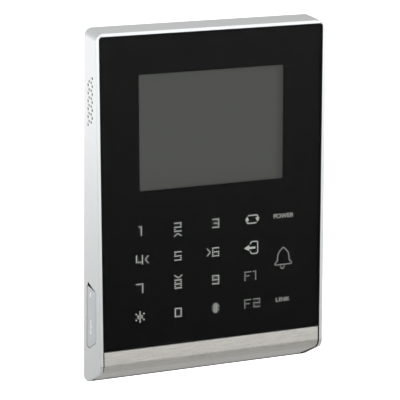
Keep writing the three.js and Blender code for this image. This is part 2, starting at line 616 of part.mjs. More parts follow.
// Tamper switch: its plunger reaches the wall through the cover and the bracket.
add('tamper_switch', cut(
  block(TAMPER_X - 3, TAMPER_X + 3, ON_REAR, ON_REAR + 3.4, TAMPER_Z - 3, TAMPER_Z + 3),
  [barY(TAMPER_X, TAMPER_Z, 1.75, ON_REAR + 0.5, ON_REAR + 5, 16)],
), 'black_plastic');
add('tamper_plunger', barY(TAMPER_X, TAMPER_Z, 1.5, ON_REAR + 2.4, -0.1, 16), 'white_plastic');
add('reset_switch', cut(
  block(RESET_X - 2.3, RESET_X + 2.3, ON_REAR, ON_REAR + 1.9, RESET_Z - 2.3, RESET_Z + 2.3),
  [barY(RESET_X, RESET_Z, 1.35, ON_REAR + 0.5, ON_REAR + 3, 16)],
), 'zinc_steel');
add('reset_button', barY(RESET_X, RESET_Z, 1.15, ON_REAR + 1.2, COVER_FRONT - 0.5, 16), 'black_plastic');

// ---------------------------------------------------------------- rear cover, bracket, screws
const CABLE_BAY = [-27, 27, -40, -6];    // x low, x high, z low, z high
const HOOK_X = 25;
const HOOK_SLOT = [5, 50.6, 55.5];       // half width, z low and z high
const COVER_TOP = 69.9;
const COVER_DEPTH = -5;                  // tools for the cover start in front of it
const FOOT_NOTCH = [9, -64.6];           // half width and top of the notch for the bracket's foot
const hookSlots = [-HOOK_X, HOOK_X].map((x) => (
  block(x - HOOK_SLOT[0], x + HOOK_SLOT[0], COVER_DEPTH, 0, HOOK_SLOT[1], HOOK_SLOT[2])
));
add('rear_cover', cut(
  sidePlate(rectangle(COVER_FRONT, -COVER_TOP, COVER_REAR, COVER_TOP), -CAVITY_HALF + GAP, CAVITY_HALF - GAP),
  [
    block(CABLE_BAY[0], CABLE_BAY[1], COVER_DEPTH, 0, CABLE_BAY[2], CABLE_BAY[3]),
    block(-FOOT_NOTCH[0], FOOT_NOTCH[0], COVER_DEPTH, 0, -TOP - CLEAR, FOOT_NOTCH[1]),
    ...hookSlots,
    ...coverScrews.map(([x, z]) => barY(x, z, 1.3, COVER_DEPTH, 0, 12)),
    barY(TAMPER_X, TAMPER_Z, 2.1, COVER_DEPTH, 0, 16),
    barY(RESET_X, RESET_Z, 1.5, COVER_DEPTH, 0, 12),
  ],
), 'black_plastic');

// Pressed sheet bracket: a plate, two hooks folded forward and up, and a screw flange at the foot.
const PLATE_HALF = 41;
const PLATE_TOP = 64;
const PLATE_LOW = -60;
const PLATE_R = 4;
const FOOT_HALF = 8;
const FOOT_LOW = -68.6;
const FOOT_R = 0.6;
const FLANGE_Y = -5.2;
const sheet = frontPlate(outline([
  [-PLATE_HALF, PLATE_LOW, PLATE_R], [-FOOT_HALF, PLATE_LOW, FOOT_R], [-FOOT_HALF, FOOT_LOW, 0],
  [FOOT_HALF, FOOT_LOW, 0], [FOOT_HALF, PLATE_LOW, FOOT_R], [PLATE_HALF, PLATE_LOW, PLATE_R],
  [PLATE_HALF, PLATE_TOP, PLATE_R], [-PLATE_HALF, PLATE_TOP, PLATE_R],
], 3), -BRACKET_T, 0);
// A hook is a tab folded forward with its lip folded up behind the cover.
const HOOK_HALF = 4;
const HOOK_FRONT = -5.0;
const HOOK_Z = 54.0;
const HOOK_LIP_TOP = 58.2;
const HOOK_LIP_LOW = 54.6;
const FOLD = 0.5;                        // how far a folded tab runs into the sheet it grows from
const hooks = [-HOOK_X, HOOK_X].flatMap((x) => [
  block(x - HOOK_HALF, x + HOOK_HALF, HOOK_FRONT, -FOLD, HOOK_Z, HOOK_Z + BRACKET_T),
  block(x - HOOK_HALF, x + HOOK_HALF, HOOK_FRONT, HOOK_FRONT + BRACKET_T, HOOK_LIP_LOW, HOOK_LIP_TOP),
]);
const hookWindows = [-HOOK_X, HOOK_X].map((x) => block(x - HOOK_HALF - 0.6, x + HOOK_HALF + 0.6,
  -BRACKET_T - 0.2, CLEAR, HOOK_Z + BRACKET_T + 0.01, HOOK_LIP_TOP + 1.4));
const flange = block(-FOOT_HALF, FOOT_HALF, FLANGE_Y, -FOLD, FOOT_LOW, FOOT_LOW + BRACKET_T);
const ANCHOR_R = 2.2;
const anchorHoles = [[-30, 40], [30, 40], [-30, -52], [30, -52], [0, 41.65], [0, -52]];
add('wall_bracket', cut(
  join([sheet, ...hooks, flange]),
  [
    block(CABLE_BAY[0], CABLE_BAY[1], COVER_DEPTH, CLEAR, CABLE_BAY[2], CABLE_BAY[3]),
    ...hookWindows,
    ...anchorHoles.map(([x, z]) => barY(x, z, ANCHOR_R, COVER_FRONT, CLEAR, 16)),
    barY(TAMPER_X, TAMPER_Z, 2.6, COVER_FRONT, CLEAR, 16),
    barZ(0, SCREW_Y, 1.28, FOOT_LOW - CLEAR, FOOT_LOW + BRACKET_T + CLEAR, 16),
  ],
), 'zinc_steel');

// A pan-head screw: shank along +Y from y = 0 into -Y, head behind it, cross recess in the head.
function screw(headR, headH, shankR, length) {
  const profile = [
    [0, -length], [shankR * 0.6, -length], [shankR, -length + shankR * 0.6], [shankR, 0],
    [headR, 0], [headR, headH * 0.5], [headR * 0.72, headH], [0, headH],
  ].map(([r, h]) => new THREE.Vector2(r, h));
  const body = new THREE.LatheGeometry(profile, 14);
  const arm = headR * 0.62;
  const slot = headR * 0.13;
  return cut(body, [
    block(-arm, arm, headH * 0.35, headH + 1, -slot, slot),
    block(-slot, slot, headH * 0.35, headH + 1, -arm, arm),
  ]);
}
coverScrews.forEach(([x, z], i) => {
  add(`cover_screw_${i + 1}`, screw(2.0, 1.1, 1.0, 6).translate(x, COVER_REAR + 0.03, z), 'zinc_steel');
});
boardScrews.forEach(([x, z], i) => {
  add(`board_screw_${i + 1}`, screw(2.0, 1.2, 1.0, 4.6).translate(x, BOARD_REAR + 0.03, z), 'zinc_steel');
});
add('security_screw', screw(1.95, 0.95, 1.22, 6).rotateX(-Math.PI / 2).translate(0, SCREW_Y, -TOP + 0.97),
  'zinc_steel');

// ---------------------------------------------------------------- USB door
const PLUG_INNER_X = -44.7;
const PLUG_HALF = [1.8, 5.2];     // half the plug's size along y and z
const MARK_DEPTH = 0.25;
const MARK_Y = [-10.1, -8.2];
const MARK_Z = [-49.6, -44.6];
const doorPlate = sidePlate(doorOutline(0), -HALF_WIDTH, -HALF_WIDTH + DOOR_T);
const doorPlug = block(-HALF_WIDTH + DOOR_T - 0.3, PLUG_INNER_X,
  USB_Y - PLUG_HALF[0], USB_Y + PLUG_HALF[0], USB_Z - PLUG_HALF[1], USB_Z + PLUG_HALF[1]);
const doorMark = block(-HALF_WIDTH - CLEAR, -HALF_WIDTH + MARK_DEPTH,
  MARK_Y[0], MARK_Y[1], MARK_Z[0], MARK_Z[1]);
add('usb_door', toShape(toSolid(doorPlate).add(toSolid(doorPlug)).subtract(toSolid(doorMark))),
  'silver_door');

export default terminal;
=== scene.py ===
"""Studio scene of the wall terminal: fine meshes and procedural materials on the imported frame."""
import math

import bmesh
import bpy
from mathutils import Matrix, Vector


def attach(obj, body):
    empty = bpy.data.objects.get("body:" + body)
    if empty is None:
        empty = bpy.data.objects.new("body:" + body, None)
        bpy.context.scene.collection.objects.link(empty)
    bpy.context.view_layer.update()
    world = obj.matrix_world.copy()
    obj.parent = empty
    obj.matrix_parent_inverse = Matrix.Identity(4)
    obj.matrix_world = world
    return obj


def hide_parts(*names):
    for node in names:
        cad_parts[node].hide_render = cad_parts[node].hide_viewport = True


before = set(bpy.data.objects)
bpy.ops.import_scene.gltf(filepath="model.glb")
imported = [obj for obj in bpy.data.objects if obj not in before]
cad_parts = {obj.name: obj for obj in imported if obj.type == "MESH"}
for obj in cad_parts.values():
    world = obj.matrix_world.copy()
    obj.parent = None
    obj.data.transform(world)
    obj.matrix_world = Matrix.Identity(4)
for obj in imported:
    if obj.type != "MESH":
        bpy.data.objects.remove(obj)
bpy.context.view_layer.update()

# ------------------------------------------------------------------ dimensions, millimetres
MM = 0.001
HALF_WIDTH = 48.5
TOP = 72.4
REAR = -0.4
FRONT_SLOPE = 0.0512
TILT = math.atan(FRONT_SLOPE)
FOOT_Y = -20.13
FOOT_Z = -54.7
RIM_PROUD = 0.19
RIM_BEVEL = 0.65
CORNER_R = 3.3
WALL = 2.2
CAVITY_HALF = HALF_WIDTH - WALL
OPEN_HALF = 47.15
OPEN_TOP = 126.0
GAP = 0.3
GLASS_T = 1.1
WINDOW_HALF = 30.6
WINDOW_LOW = 63.9
WINDOW_HIGH = 110.1
WINDOW_MID = (WINDOW_LOW + WINDOW_HIGH) / 2
LEDGE_FRONT = 1.8
LEDGE_REAR = 3.3
CHIN_ANGLE = math.radians(30.5)
CHIN_R = 5.0
CHIN_END_Y = -5.0
STRIP_T = 0.8
STRIP_SINK = 0.2
USB_Y = -9.9
USB_Z = -43.2
DOOR_T = 1.2
DOOR_HINGE_Z = -57.0
GRILLE_COLUMNS = ((-10.2, 54.4, 0.6), (-8.95, 52.5, 0.55), (-6.55, 52.5, 0.55), (-5.35, 50.8, 0.6))
GRILLE_ROWS = 6
GRILLE_PITCH = 3.16
COVER_FRONT = -3.4
BOARD_FRONT = -9.0
SCREW_Y = -2.8
CLEAR = 1                           # how far a cutting tool runs past the face it cuts
CHIN_START_Z = -50                  # where the chin's outline starts on the front face
DISPLAY_HOLE = (33, 25.1)           # half width and half height of the ledge's display opening
KEYPAD_HOLE = (-42, 5, 42, 57.5)    # x and v of two opposite corners
OPEN_CORNER_R = 1.5
ADHESIVE_T = 0.15

# Rounded edges, the width of each.
REAR_BEVEL = 0.25
LIP_BEVEL = 0.22
HOLE_BEVEL = 0.12
GLASS_BEVEL = 0.15
STRIP_BEVEL = 0.3
DOOR_BEVEL = 0.13
SHARP_ANGLE = math.radians(38)      # edges steeper than this are shaded sharp
FACE_WEIGHT = 80


# ------------------------------------------------------------------ outlines and solids
def outline(corners, steps=8):
    """A closed outline from (a, b, radius) corners, each radius drawn as an arc."""
    points = []
    count = len(corners)
    for i, (a, b, r) in enumerate(corners):
        here = Vector((a, b))
        if not r:
            points.append(here)
            continue
        back = (Vector(corners[i - 1][:2]) - here).normalized()
        ahead = (Vector(corners[(i + 1) % count][:2]) - here).normalized()
        half = math.acos(max(-1, min(1, back.dot(ahead)))) / 2
        reach = r / math.tan(half)
        centre = here + (back + ahead).normalized() * (r / math.sin(half))
        start = here + back * reach - centre
        end = here + ahead * reach - centre
        turn = math.atan2(start.x * end.y - start.y * end.x, start.dot(end))
        for k in range(steps + 1):
            points.append(centre + Matrix.Rotation(turn * k / steps, 2) @ start)
    return points


def rectangle(x0, y0, x1, y1, r=0.0, steps=6):
    return outline([(x0, y0, r), (x1, y0, r), (x1, y1, r), (x0, y1, r)], steps)


def circle(a, b, r, sides=32):
    return [
        Vector((a + r * math.cos(2 * math.pi * k / sides), b + r * math.sin(2 * math.pi * k / sides)))
        for k in range(sides)
    ]


def on_glass(x, v, n):
    """x across, v up the glass and n behind its face, to the row frame."""
    return Vector((
        x,
        FOOT_Y + n * math.cos(TILT) + v * math.sin(TILT),
        FOOT_Z - n * math.sin(TILT) + v * math.cos(TILT),
    ))


def straight_back(x, v, n):
    return Vector((x, FOOT_Y + n + v * math.sin(TILT), FOOT_Z + v * math.cos(TILT)))


def from_side(y, z, x):
    return Vector((x, y, z))


def from_back(x, z, y):
    return Vector((x, y, z))


def from_above(x, y, z):
    return Vector((x, y, z))


def prism(points, low, high, place, into=None):
    """A straight solid between two depths, added to a bmesh."""
    bm = into or bmesh.new()
    near = [bm.verts.new(place(p[0], p[1], low)) for p in points]
    far = [bm.verts.new(place(p[0], p[1], high)) for p in points]
    made = [bm.faces.new(near), bm.faces.new(far)]
    for i in range(len(points)):
        j = (i + 1) % len(points)
        made.append(bm.faces.new((near[i], near[j], far[j], far[i])))
    bmesh.ops.recalc_face_normals(bm, faces=made)
    return bm


def cuboid(x0, x1, y0, y1, z0, z1):
    return prism(rectangle(x0, z0, x1, z1), y0, y1, from_back)


def to_object(name, bm):
    mesh = bpy.data.meshes.new(name)
    bm.to_mesh(mesh)
    bm.free()
    obj = bpy.data.objects.new(name, mesh)
    bpy.context.scene.collection.objects.link(obj)
    return obj


def bake(obj):
    view = bpy.context.evaluated_depsgraph_get()
    mesh = bpy.data.meshes.new_from_object(obj.evaluated_get(view))
    old = obj.data
    obj.modifiers.clear()
    obj.data = mesh
    bpy.data.meshes.remove(old)


def combine(obj, tools, operation, paint=None):
    """Cuts, joins or intersects the object with each tool solid; cut faces take the tool's `paint`."""
    helpers = []
    for tool in tools:
        helper = to_object("tool", tool)
        if paint:
            helper.data.materials.append(paint)
        step = obj.modifiers.new("step", "BOOLEAN")
        step.solver = "EXACT"
        step.material_mode = "TRANSFER"
        step.operation = operation
        step.object = helper
        helpers.append(helper)
    bake(obj)
    for helper in helpers:
        mesh = helper.data
        bpy.data.objects.remove(helper)
        bpy.data.meshes.remove(mesh)


def soften(obj, width, segments, choose=None, angle=40):
    """Rounds the sharp edges that `choose` accepts."""
    bm = bmesh.new()
    bm.from_mesh(obj.data)
    bmesh.ops.remove_doubles(bm, verts=bm.verts, dist=1e-4)
    bmesh.ops.dissolve_limit(
        bm, angle_limit=math.radians(0.4), verts=bm.verts, edges=bm.edges, delimit={"MATERIAL"})
    edges = []
    for edge in bm.edges:
        if len(edge.link_faces) != 2 or edge.calc_face_angle(0) < math.radians(angle):
            continue
        if choose and not choose((edge.verts[0].co + edge.verts[1].co) / 2, edge):
            continue
        edges.append(edge)
    bmesh.ops.bevel(
        bm, geom=edges, offset=width, offset_type="OFFSET", segments=segments, profile=0.5,
        affect="EDGES", clamp_overlap=True,
    )
    bm.to_mesh(obj.data)
    bm.free()


def settle(obj, body="terminal", node=None, paint=None):
    """Scales a finished piece to metres, shades it and puts it on its body."""
    obj.data.transform(Matrix.Scale(MM, 4))
    bm = bmesh.new()
    bm.from_mesh(obj.data)
    bmesh.ops.triangulate(bm, faces=[face for face in bm.faces if len(face.verts) > 4])
    for face in bm.faces:
        face.smooth = True
    for edge in bm.edges:
        edge.smooth = edge.calc_face_angle(0) < SHARP_ANGLE
    bm.to_mesh(obj.data)
    bm.free()
    shade = obj.modifiers.new("shade", "WEIGHTED_NORMAL")
    shade.keep_sharp = True
    shade.weight = FACE_WEIGHT
    if paint:
        obj.data.materials.clear()
        obj.data.materials.append(paint)
    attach(obj, body)
    for name in [node] if isinstance(node, str) else node or []:
        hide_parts(name)
    return obj


# ------------------------------------------------------------------ materials
# The Mix node's sockets share their names, so they are told apart by position.
FACTOR = 0
FLOAT_A = 2
FLOAT_B = 3
FLOAT_RESULT = 0
COLOR_A = 6
COLOR_B = 7
COLOR_RESULT = 2
BUMP_STRENGTH = 0.6


def shader(name):
    made = bpy.data.materials.new(name)
    made.use_nodes = True
    nodes = made.node_tree.nodes
    links = made.node_tree.links
    return made, nodes, links, nodes["Principled BSDF"]


def surface(name, color, rough, metallic=0.0, grain=0.15, depth=0.02, mottle=0.06, patch=6.0,
            rough_spread=0.06, stretch=(1, 1, 1), specular=0.5, glow=0.0):
    """A finish with fine relief, slow colour variation, uneven gloss and an optional glow, which paints light
    on parts that are no lamp. Sizes are millimetres.
    """
    made, nodes, links, bsdf = shader(name)
    bsdf.inputs["Metallic"].default_value = metallic
    bsdf.inputs["Specular IOR Level"].default_value = specular
    bsdf.inputs["Emission Color"].default_value = (*color, 1)
    bsdf.inputs["Emission Strength"].default_value = glow
    where = nodes.new("ShaderNodeTexCoord")
    scale = nodes.new("ShaderNodeMapping")
    scale.inputs["Scale"].default_value = stretch
    links.new(where.outputs["Object"], scale.inputs["Vector"])
    fine = nodes.new("ShaderNodeTexNoise")
    fine.inputs["Scale"].default_value = 1 / (grain * MM)
    fine.inputs["Detail"].default_value = 3
    links.new(scale.outputs["Vector"], fine.inputs["Vector"])
    wide = nodes.new("ShaderNodeTexNoise")
    wide.inputs["Scale"].default_value = 1 / (patch * MM)
    wide.inputs["Detail"].default_value = 4
    links.new(scale.outputs["Vector"], wide.inputs["Vector"])
    bump = nodes.new("ShaderNodeBump")
    bump.inputs["Strength"].default_value = BUMP_STRENGTH
    bump.inputs["Distance"].default_value = depth * MM
    links.new(fine.outputs["Fac"], bump.inputs["Height"])
    links.new(bump.outputs["Normal"], bsdf.inputs["Normal"])
    blend = nodes.new("ShaderNodeMix")
    blend.data_type = "RGBA"
    links.new(wide.outputs["Fac"], blend.inputs[FACTOR])
    blend.inputs[COLOR_A].default_value = (*[max(c * (1 - mottle), 0) for c in color], 1)
    blend.inputs[COLOR_B].default_value = (*[min(c * (1 + mottle), 1) for c in color], 1)
    links.new(blend.outputs[COLOR_RESULT], bsdf.inputs["Base Color"])
    spread = nodes.new("ShaderNodeMapRange")
    spread.inputs["To Min"].default_value = max(rough - rough_spread, 0.02)
    spread.inputs["To Max"].default_value = min(rough + rough_spread, 1)
    links.new(wide.outputs["Fac"], spread.inputs["Value"])
    links.new(spread.outputs["Result"], bsdf.inputs["Roughness"])
    return made


def clear_glass():
    made, nodes, links, bsdf = shader("cover_glass")
    nodes.remove(bsdf)
    gloss = nodes.new("ShaderNodeBsdfGlossy")
    gloss.inputs["Color"].default_value = (1, 1, 1, 1)
    clear = nodes.new("ShaderNodeBsdfTransparent")
    clear.inputs["Color"].default_value = (0.93, 0.94, 0.93, 1)
    fresnel = nodes.new("ShaderNodeFresnel")
    fresnel.inputs["IOR"].default_value = 1.145
    where = nodes.new("ShaderNodeTexCoord")
    smear = nodes.new("ShaderNodeTexNoise")
    smear.inputs["Scale"].default_value = 40
    links.new(where.outputs["Object"], smear.inputs["Vector"])
    spread = nodes.new("ShaderNodeMapRange")
    spread.inputs["To Min"].default_value = 0.02
    spread.inputs["To Max"].default_value = 0.06
    links.new(smear.outputs["Fac"], spread.inputs["Value"])
    links.new(spread.outputs["Result"], gloss.inputs["Roughness"])
    mix = nodes.new("ShaderNodeMixShader")
    links.new(fresnel.outputs["Fac"], mix.inputs["Fac"])
    links.new(clear.outputs["BSDF"], mix.inputs[1])
    links.new(gloss.outputs["BSDF"], mix.inputs[2])
    links.new(mix.outputs["Shader"], nodes["Material Output"].inputs["Surface"])
    return made


SILVER = surface("silver_paint", (0.815, 0.838, 0.842), 0.17, 0.86, grain=0.12, depth=0.006, mottle=0.02)
DOOR = surface("door_paint", (0.745, 0.775, 0.79), 0.36, 0.6, grain=0.2, depth=0.008, mottle=0.03)
# White door marks with a painted glow; the top one is a painted highlight.
MARK_AND_HIGHLIGHT = surface("mark_print_and_highlight", (0.96, 0.97, 0.97), 0.4, grain=0.1, depth=0.002, mottle=0.02, glow=0.3)
STEEL = surface("brushed_steel", (0.635, 0.618, 0.576), 0.30, 1.0, grain=0.16, depth=0.02, mottle=0.2,
                patch=0.5, rough_spread=0.12, stretch=(0.08, 1, 1))
PLATED = surface("plated_sheet", (0.62, 0.63, 0.64), 0.36, 1.0, grain=0.3, depth=0.006, mottle=0.08)
ZINC = surface("zinc_bracket", (0.60, 0.62, 0.64), 0.42, 1.0, grain=0.5, depth=0.012, mottle=0.14,
               patch=3.0, rough_spread=0.12)
SCREW = surface("screw_zinc", (0.56, 0.56, 0.57), 0.3, 1.0, grain=0.2, depth=0.006, mottle=0.08)
GLASS = clear_glass()
INK = surface("black_print", (0.003, 0.003, 0.003), 0.5, grain=0.3, depth=0.001, mottle=0.2, specular=0.0)
TAPE = surface("foam_tape", (0.012, 0.012, 0.013), 0.9, grain=0.2, depth=0.03, mottle=0.3)
# The legends glow: painted light that makes the print behind the glass brighter than the lamps alone light
# it.
LEGEND = surface("legend_print_painted_glow", (0.60, 0.60, 0.57), 0.6, grain=0.1, depth=0.002, mottle=0.05, glow=0.45)
DOT_LEGEND = surface("dot_legend_painted_glow", (0.60, 0.60, 0.57), 0.6, grain=0.1, depth=0.002, mottle=0.05, glow=2.4)
DIM_LEGEND = surface("dim_legend_painted_glow", (0.45, 0.45, 0.44), 0.6, grain=0.1, depth=0.002, mottle=0.05, glow=1.5)
LINE_LEGEND = surface("line_legend_painted_glow", (0.34, 0.34, 0.33), 0.6, grain=0.1, depth=0.002, mottle=0.05, glow=0.6)
# The display's border and active area glow: a painted glow, as the panel is modelled with no backlight.
GLOWING_PANEL_EDGE = surface("display_border_painted_glow", (0.075, 0.075, 0.071), 0.5, grain=0.2, depth=0.001, mottle=0.05,
                     specular=0.1, glow=0.75)
GLOWING_PANEL_ACTIVE = surface("display_active", (0.086, 0.086, 0.082), 0.5, grain=0.2, depth=0.001, mottle=0.02,
                       specular=0.1, glow=0.56)
# Dark bare plastic: real inside the housing; on the walls of the grille holes, door recess, nail notch and
# pockets it is painted shade in the hollows.
BARE_PLASTIC_AND_SHADE = surface("bare_plastic_and_shade", (0.030, 0.024, 0.020), 0.7, grain=0.25, depth=0.02, mottle=0.2, specular=0.2)
BLACK = surface("black_plastic", (0.022, 0.022, 0.024), 0.55, grain=0.25, depth=0.03, mottle=0.2)
WHITE = surface("white_plastic", (0.78, 0.76, 0.68), 0.5, grain=0.4, depth=0.008, mottle=0.05)
GREY = surface("grey_ferrite", (0.11, 0.11, 0.12), 0.6, grain=0.2, depth=0.03, mottle=0.15)
BOARD = surface("board_green", (0.02, 0.14, 0.06), 0.38, grain=0.6, depth=0.006, mottle=0.25, patch=1.2)
CHIP = surface("chip_epoxy", (0.02, 0.02, 0.022), 0.5, grain=0.12, depth=0.01, mottle=0.2)
DIFFUSER = surface("milky_guide", (0.84, 0.84, 0.82), 0.45, grain=0.5, depth=0.004, mottle=0.04)
LED = surface("lamp_lens", (0.72, 0.82, 0.68), 0.2, grain=0.3, depth=0.002, mottle=0.05)
COPPER = surface("copper_loop", (0.72, 0.36, 0.19), 0.35, 1.0, grain=0.2, depth=0.004, mottle=0.12)
FLEX = surface("amber_flex", (0.42, 0.19, 0.04), 0.35, grain=0.3, depth=0.004, mottle=0.15)
CAN = surface("bright_can", (0.72, 0.73, 0.75), 0.28, 1.0, grain=0.3, depth=0.003, mottle=0.05)
CONE = surface("speaker_film", (0.03, 0.03, 0.03), 0.6, grain=0.3, depth=0.01, mottle=0.2)
CLOTH = surface("dust_cloth", (0.012, 0.012, 0.012), 0.95, grain=0.15, depth=0.06, mottle=0.4)

NODE_PAINT = {
    "display_bezel": PLATED, "display_backlight": WHITE, "display_flex": FLEX, "touch_flex": FLEX,
    "glass_tape": TAPE, "touch_board": BOARD, "main_board": BOARD, "key_light_guide": DIFFUSER,
    "power_led": LED, "link_led": LED, "antenna_coil": COPPER, "processor_shield": PLATED,
    "memory_chip": CHIP, "network_transformer": CHIP, "relay": WHITE, "inductor": GREY,
    "capacitor_1": CAN, "capacitor_2": CAN, "display_connector": WHITE, "touch_connector": WHITE,
    "usb_socket": PLATED, "usb_tongue": WHITE, "speaker_frame": BLACK, "speaker_cone": CONE,
    "speaker_magnet": PLATED, "speaker_cloth": CLOTH, "coin_cell_holder": BLACK, "coin_cell": PLATED,
    "buzzer": BLACK, "power_socket": WHITE, "network_socket": WHITE, "lock_socket": WHITE,
    "reader_socket": WHITE, "alarm_socket": WHITE, "tamper_switch": BLACK, "tamper_plunger": WHITE,
    "reset_switch": PLATED, "reset_button": BLACK, "rear_cover": BLACK, "wall_bracket": ZINC,
    "security_screw": SCREW, "glass_print": INK, "cover_glass": GLASS, "housing": SILVER,
    "steel_strip": STEEL, "usb_door": DOOR, "display_panel": GLOWING_PANEL_EDGE,
}
for node_name, node_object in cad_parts.items():
    finish = NODE_PAINT.get(node_name, SCREW)
    node_object.data.materials.clear()
    node_object.data.materials.append(finish)


# ------------------------------------------------------------------ housing
def chin_path(front, slope, radius, top_z, end_y, steps=14):
    """The chin's side view, offset inwards, from the front face round the bend and back."""
    low_y = CHIN_END_Y + slope * math.sin(CHIN_ANGLE)
    low_z = -TOP + slope * math.cos(CHIN_ANGLE)
    fall = math.tan(CHIN_ANGLE)

    def face(z):
        return FOOT_Y + (z - FOOT_Z) * FRONT_SLOPE + (front - RIM_PROUD) / math.cos(TILT)

    corner_z = low_z + fall * (low_y - face(low_z)) / (1 + fall * FRONT_SLOPE)
    end_z = low_z - fall * (end_y - low_y)
    return outline([(face(top_z), top_z, 0), (face(corner_z), corner_z, radius), (end_y, end_z, 0)], steps)


def front_y(z, n):
    return FOOT_Y + (z - FOOT_Z) * FRONT_SLOPE + n / math.cos(TILT)


# The front outline runs lower and deeper than the housing; the side view trims it.
TOP_V = (TOP - FOOT_Z) / math.cos(TILT)
FRONT_LOW = -30
FRONT_DEPTH = 40
BEYOND_TOP = TOP + 8
BEYOND_FRONT = -40
REAR_CORNER_R = 1.2
housing = to_object("housing_shell", prism(
    outline([(-HALF_WIDTH, FRONT_LOW, 0), (HALF_WIDTH, FRONT_LOW, 0), (HALF_WIDTH, TOP_V, CORNER_R),
             (-HALF_WIDTH, TOP_V, CORNER_R)], 12),
    -RIM_PROUD, FRONT_DEPTH, straight_back))
housing.data.materials.append(SILVER)
side_view = [
    Vector((REAR, BEYOND_TOP)), Vector((BEYOND_FRONT, BEYOND_TOP)), Vector((BEYOND_FRONT, CHIN_START_Z)),
]
side_view += chin_path(0, 0, CHIN_R, CHIN_START_Z, CHIN_END_Y)
side_view += outline([(CHIN_END_Y, -TOP, 0), (REAR, -TOP, REAR_CORNER_R), (REAR, 0, 0)])[1:-1]
combine(housing, [
    prism(side_view, -HALF_WIDTH - CLEAR, HALF_WIDTH + CLEAR, from_side),
], "INTERSECT", SILVER)
soften(housing, RIM_BEVEL, 5, lambda p, e: p.y < -0.5)
soften(housing, REAR_BEVEL, 2, lambda p, e: p.y > -0.45)

cover_screws = [(44, 66.7), (-44, 66.7), (44, -64.2), (-44, -64.2)]
board_screws = [(43.4, -3), (-43.4, -3), (43.4, -54), (-43.4, -54)]
BEHIND = 5                          # how far behind the wall plane the cavity tool ends
CHIN_WALL = 2.55
CAVITY_BEND_R = 2.5
CAVITY_END_Y = -3.7
cavity = [Vector((BEHIND, TOP - WALL)), Vector((front_y(TOP - WALL, LEDGE_REAR), TOP - WALL))]
cavity += chin_path(LEDGE_REAR + RIM_PROUD, CHIN_WALL, CAVITY_BEND_R, CHIN_START_Z, CAVITY_END_Y, 6)
cavity += [Vector((BEHIND, -TOP + WALL))]
combine(housing, [prism(cavity, -CAVITY_HALF, CAVITY_HALF, from_side)], "DIFFERENCE", BARE_PLASTIC_AND_SHADE)
BOSS_ROOT = 0.5                     # how far a boss grows into the ledge
BOSS_GAP = 0.1                      # between a boss and what is screwed onto it
LOW_BOSS_Y = -10.2                  # the lower bosses run into the cheeks; the chin's slope is just met here
COVER_BOSS_R = 2.6
BOARD_BOSS_R = 3.1
PILOT_R = 1.05
COVER_PILOT = 6.5
BOARD_PILOT = 4
bosses = [
    prism(circle(x, z, COVER_BOSS_R, 20), front_y(z, LEDGE_REAR - BOSS_ROOT) if z > 0 else LOW_BOSS_Y,
          COVER_FRONT - BOSS_GAP, from_back)
    for x, z in cover_screws
] + [
    prism(circle(x, z, BOARD_BOSS_R, 20), front_y(z, LEDGE_REAR - BOSS_ROOT),
          BOARD_FRONT - BOSS_GAP, from_back)
    for x, z in board_screws
]
combine(housing, bosses, "UNION", BARE_PLASTIC_AND_SHADE)
pilots = [
    prism(circle(x, z, PILOT_R, 14), COVER_FRONT - COVER_PILOT, COVER_FRONT + CLEAR, from_back)
    for x, z in cover_screws
] + [
    prism(circle(x, z, PILOT_R, 14), BOARD_FRONT - BOARD_PILOT, BOARD_FRONT + CLEAR, from_back)
    for x, z in board_screws
]
glass_pocket = prism(outline([
    (-OPEN_HALF, 0, 0), (OPEN_HALF, 0, 0), (OPEN_HALF, OPEN_TOP, OPEN_CORNER_R),
    (-OPEN_HALF, OPEN_TOP, OPEN_CORNER_R),
]), -2, LEDGE_FRONT, on_glass)
display_hole = prism(rectangle(-DISPLAY_HOLE[0], WINDOW_MID - DISPLAY_HOLE[1], DISPLAY_HOLE[0],
                               WINDOW_MID + DISPLAY_HOLE[1], 1),
                     LEDGE_FRONT - CLEAR, LEDGE_REAR + CLEAR, on_glass)
keypad_hole = prism(rectangle(*KEYPAD_HOLE, 1), LEDGE_FRONT - CLEAR, LEDGE_REAR + CLEAR, on_glass)
pocket_depth = STRIP_T + STRIP_SINK + ADHESIVE_T
POCKET_OUT = 3                      # how far the pocket's tool stands out of the chin
strip_pocket = prism(
    chin_path(-POCKET_OUT, -POCKET_OUT, CHIN_R + POCKET_OUT, FOOT_Z, CHIN_END_Y)
    + chin_path(pocket_depth, pocket_depth, CHIN_R - 1, FOOT_Z, CHIN_END_Y - 0.2)[::-1],
    -OPEN_HALF, OPEN_HALF, from_side)
grille = bmesh.new()
for hole_y, top_z, radius in GRILLE_COLUMNS:
    for row in range(GRILLE_ROWS):
        prism(circle(hole_y, top_z - row * GRILLE_PITCH, radius, 20), -HALF_WIDTH - CLEAR,
              -CAVITY_HALF + CLEAR, from_side, grille)


DOOR_REAR_Y = -4.3
DOOR_FRONT_Y = -15.4
DOOR_TOP_Z = -31.3
DOOR_KNEE_Z = -52.0
DOOR_TOE_Y = -7.2
DOOR_CORNER_R = 0.6
DOOR_KNEE_R = 0.8
DOOR_KNEE_DROP = 0.58               # how far the slanted corners move per millimetre of growth
DOOR_TOE_SHIFT = 0.3
DOOR_GAP = 0.2
DOOR_BED = 0.25


def door_outline(grow, steps=5):
    """The USB door's side view; its lower edge follows the chin."""
    corner = DOOR_CORNER_R + max(grow, 0)
    return outline([
        (DOOR_REAR_Y + grow, DOOR_TOP_Z + grow, corner),
        (DOOR_FRONT_Y - grow, DOOR_TOP_Z + grow, corner),
        (DOOR_FRONT_Y - grow, DOOR_KNEE_Z - grow * DOOR_KNEE_DROP, DOOR_KNEE_R),
        (DOOR_TOE_Y - grow * DOOR_TOE_SHIFT, DOOR_HINGE_Z - grow, DOOR_KNEE_R),
        (DOOR_REAR_Y + grow, DOOR_HINGE_Z - grow, corner),
    ], steps)


